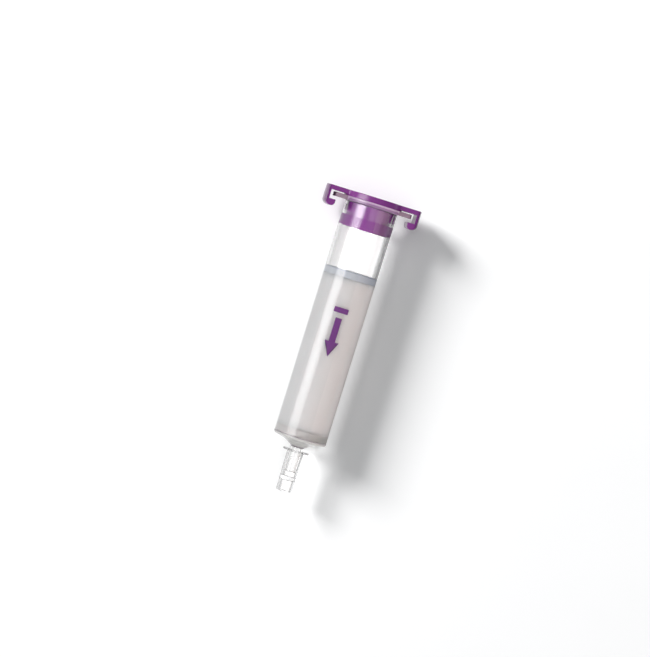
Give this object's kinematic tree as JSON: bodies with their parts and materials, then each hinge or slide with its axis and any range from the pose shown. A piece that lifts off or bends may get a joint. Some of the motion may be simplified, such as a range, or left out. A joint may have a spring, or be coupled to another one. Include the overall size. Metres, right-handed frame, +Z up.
{
  "type": "size exclusion chromatography column",
  "caption": "Clear syringe-style gravity column packed with resin between two frits, with a winged snap cap over its flange and a slip-on luer cap on its tip.",
  "frame": {"origin": "on the surface the column lies on, under the middle of its bounding box", "axes": "+Y along the column towards the cap, +X across the wings, +Z up"},
  "size_m": [0.0318, 0.0988, 0.0194],
  "materials": {
    "clear_barrel": "clear, glossy",
    "cap_plastic": "satin to glossy purple",
    "upper_frit": "porous, blue-grey when wet",
    "resin": "fine wet gel beads",
    "lower_frit": "porous, grey when wet",
    "buffer": "clear liquid",
    "clear_luer_cap": "clear, glossy"
  },
  "bodies": {
    "column": {"barrel": "clear_barrel", "upper_frit": "upper_frit", "resin_bed": "resin", "lower_frit": "lower_frit", "outlet_buffer": "buffer"},
    "top_cap": {"top_cap": "cap_plastic"},
    "luer_cap": {"luer_cap": "clear_luer_cap"}
  },
  "joints": [
    {"name": "luer_cap_pull", "type": "slide", "parent": "column", "child": "luer_cap", "axis": [0, -0.9999, -0.0127], "range_m": [0, 0.01]},
    {"name": "top_cap_twist", "type": "hinge", "parent": "column", "child": "top_cap", "pos_m": [0, 0.04747, 0.0097], "axis": [0, 0.9999, 0.0127], "range_deg": [-90, 90]}
  ]
}
